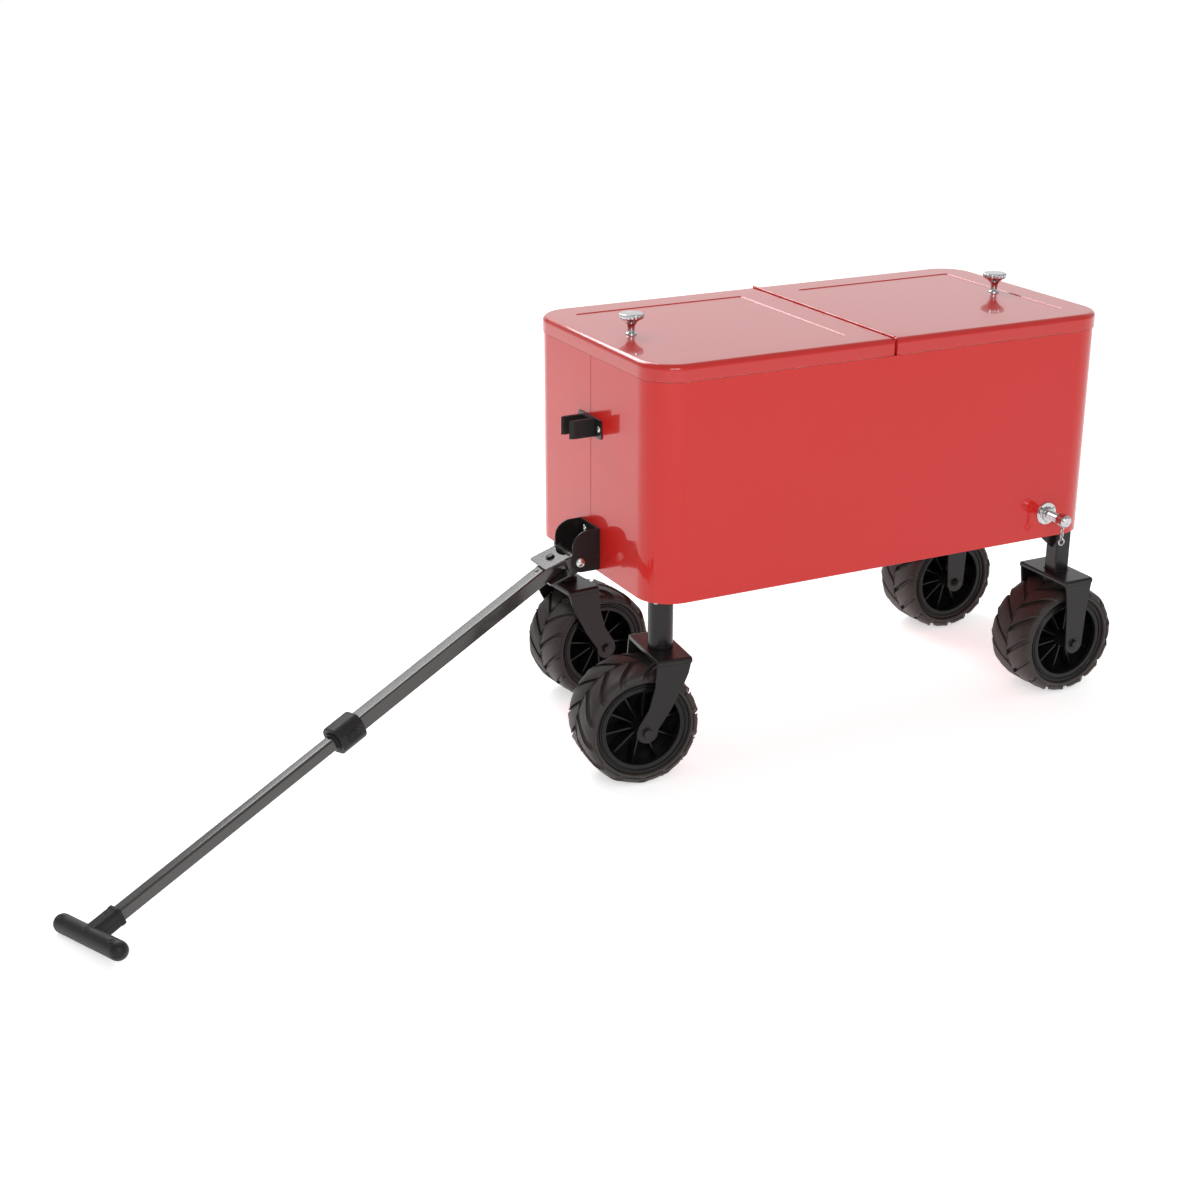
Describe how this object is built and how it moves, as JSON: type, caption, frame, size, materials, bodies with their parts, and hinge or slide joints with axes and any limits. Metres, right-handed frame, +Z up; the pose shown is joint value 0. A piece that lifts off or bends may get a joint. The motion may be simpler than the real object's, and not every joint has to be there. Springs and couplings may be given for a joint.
{
  "type": "patio cooler wagon with pull handle",
  "caption": "Insulated steel patio cooler on a pull cart: hinged lids with knobs, telescopic T-handle, swivel front casters, fixed rear wheels, drain spout.",
  "frame": {"origin": "centre of the flat underside of the cooler body", "axes": "+X along the body away from the handle, +Y towards the side without the drain, +Z up"},
  "size_m": [1.9173, 0.663, 0.7278],
  "materials": {
    "red_body": "gloss",
    "red_lid": "gloss",
    "white_liner": "satin",
    "foam": "matte",
    "seal_rubber": "matte",
    "black_steel": "satin",
    "black_plastic": "matte",
    "rim_plastic": "gloss",
    "tyre_rubber": "matte",
    "chrome": "polished",
    "zinc_steel": "satin",
    "black_bolt": "satin"
  },
  "bodies": {
    "root": {"body_shell": "red_body", "bottom_pan": "red_body", "foam_insulation": "foam", "inner_tub": "white_liner", "tub_floor": "white_liner", "center_rail": "red_body", "hinge_pin": "zinc_steel", "clip_plate": "black_steel", "handle_clip": "black_plastic", "handle_bracket": "black_steel", "wall_screws": "zinc_steel", "pivot_bolt": "zinc_steel", "front_leg_near": "black_steel", "front_leg_far": "black_steel", "rear_leg_near": "black_steel", "rear_leg_far": "black_steel", "leg_bolts": "zinc_steel", "caster_bushes": "black_plastic", "rear_fork_near": "black_steel", "rear_fork_far": "black_steel", "rear_axles": "black_bolt", "drain_spout": "chrome", "drain_screws": "zinc_steel"},
    "left_lid": {"left_lid_skin": "red_lid", "left_lid_foam": "foam", "left_lid_liner": "white_liner", "left_lid_gasket": "seal_rubber", "left_lid_knob": "chrome", "left_hinge_leaf": "red_body"},
    "right_lid": {"right_lid_skin": "red_lid", "right_lid_foam": "foam", "right_lid_liner": "white_liner", "right_lid_gasket": "seal_rubber", "right_lid_knob": "chrome", "right_hinge_leaf": "red_body"},
    "yoke": {"yoke": "black_steel", "yaw_bolt": "black_bolt"},
    "handle": {"outer_tube": "black_steel", "collar": "black_plastic"},
    "button": {"collar_button": "black_plastic"},
    "drawbar": {"inner_tube": "black_steel", "grip_upper": "black_plastic", "grip_lower": "black_plastic", "grip_screws": "zinc_steel"},
    "caster_near": {"caster_fork_near": "black_steel", "caster_stem_near": "black_bolt", "caster_axle_near": "black_bolt"},
    "caster_far": {"caster_fork_far": "black_steel", "caster_stem_far": "black_bolt", "caster_axle_far": "black_bolt"},
    "wheel_front_near": {"rim_front_near": "rim_plastic", "tyre_front_near": "tyre_rubber"},
    "wheel_front_far": {"rim_front_far": "rim_plastic", "tyre_front_far": "tyre_rubber"},
    "wheel_rear_near": {"rim_rear_near": "rim_plastic", "tyre_rear_near": "tyre_rubber"},
    "wheel_rear_far": {"rim_rear_far": "rim_plastic", "tyre_rear_far": "tyre_rubber"},
    "cap": {"drain_cap": "chrome", "drain_chain": "chrome"}
  },
  "joints": [
    {"name": "left_lid_hinge", "type": "hinge", "parent": "root", "child": "left_lid", "pos_m": [0, 0, 0.3885], "axis": [0, 1, 0], "range_deg": [0, 82]},
    {"name": "right_lid_hinge", "type": "hinge", "parent": "root", "child": "right_lid", "pos_m": [0, 0, 0.3885], "axis": [0, -1, 0], "range_deg": [0, 82]},
    {"name": "handle_pitch", "type": "hinge", "parent": "root", "child": "yoke", "pos_m": [-0.471, 0, 0.024], "axis": [0, 1, 0], "range_deg": [-8, 108.87]},
    {"name": "handle_yaw", "type": "hinge", "parent": "yoke", "child": "handle", "pos_m": [-0.50412, 0, 0.01268], "axis": [-0.3235, 0, 0.9462], "range_deg": [-57.8, 18.2]},
    {"name": "handle_slide", "type": "slide", "parent": "handle", "child": "drawbar", "axis": [-0.8903, -0.3387, -0.3044], "range_m": [-0.38, 0]},
    {"name": "button_press", "type": "slide", "parent": "handle", "child": "button", "axis": [-0.3205, 0.9409, -0.1096], "range_m": [0, 0.003], "stiffness_N_per_m": 400, "springref_m": -0.003},
    {"name": "near_caster_swivel", "type": "hinge", "parent": "root", "child": "caster_near", "pos_m": [-0.397, -0.175, -0.085], "axis": [0, 0, 1], "continuous": true},
    {"name": "far_caster_swivel", "type": "hinge", "parent": "root", "child": "caster_far", "pos_m": [-0.397, 0.175, -0.085], "axis": [0, 0, 1], "continuous": true},
    {"name": "front_near_wheel_spin", "type": "hinge", "parent": "caster_near", "child": "wheel_front_near", "pos_m": [-0.4427, -0.16979, -0.206], "axis": [0.1132, 0.9936, 0], "continuous": true},
    {"name": "front_far_wheel_spin", "type": "hinge", "parent": "caster_far", "child": "wheel_front_far", "pos_m": [-0.35114, 0.17853, -0.206], "axis": [0.0767, -0.9971, 0], "continuous": true},
    {"name": "rear_near_wheel_spin", "type": "hinge", "parent": "root", "child": "wheel_rear_near", "pos_m": [0.409, -0.175, -0.206], "axis": [0, 1, 0], "continuous": true},
    {"name": "rear_far_wheel_spin", "type": "hinge", "parent": "root", "child": "wheel_rear_far", "pos_m": [0.409, 0.175, -0.206], "axis": [0, 1, 0], "continuous": true},
    {"name": "drain_cap_pull", "type": "slide", "parent": "root", "child": "cap", "axis": [0, -1, 0], "range_m": [0, 0.03]}
  ]
}
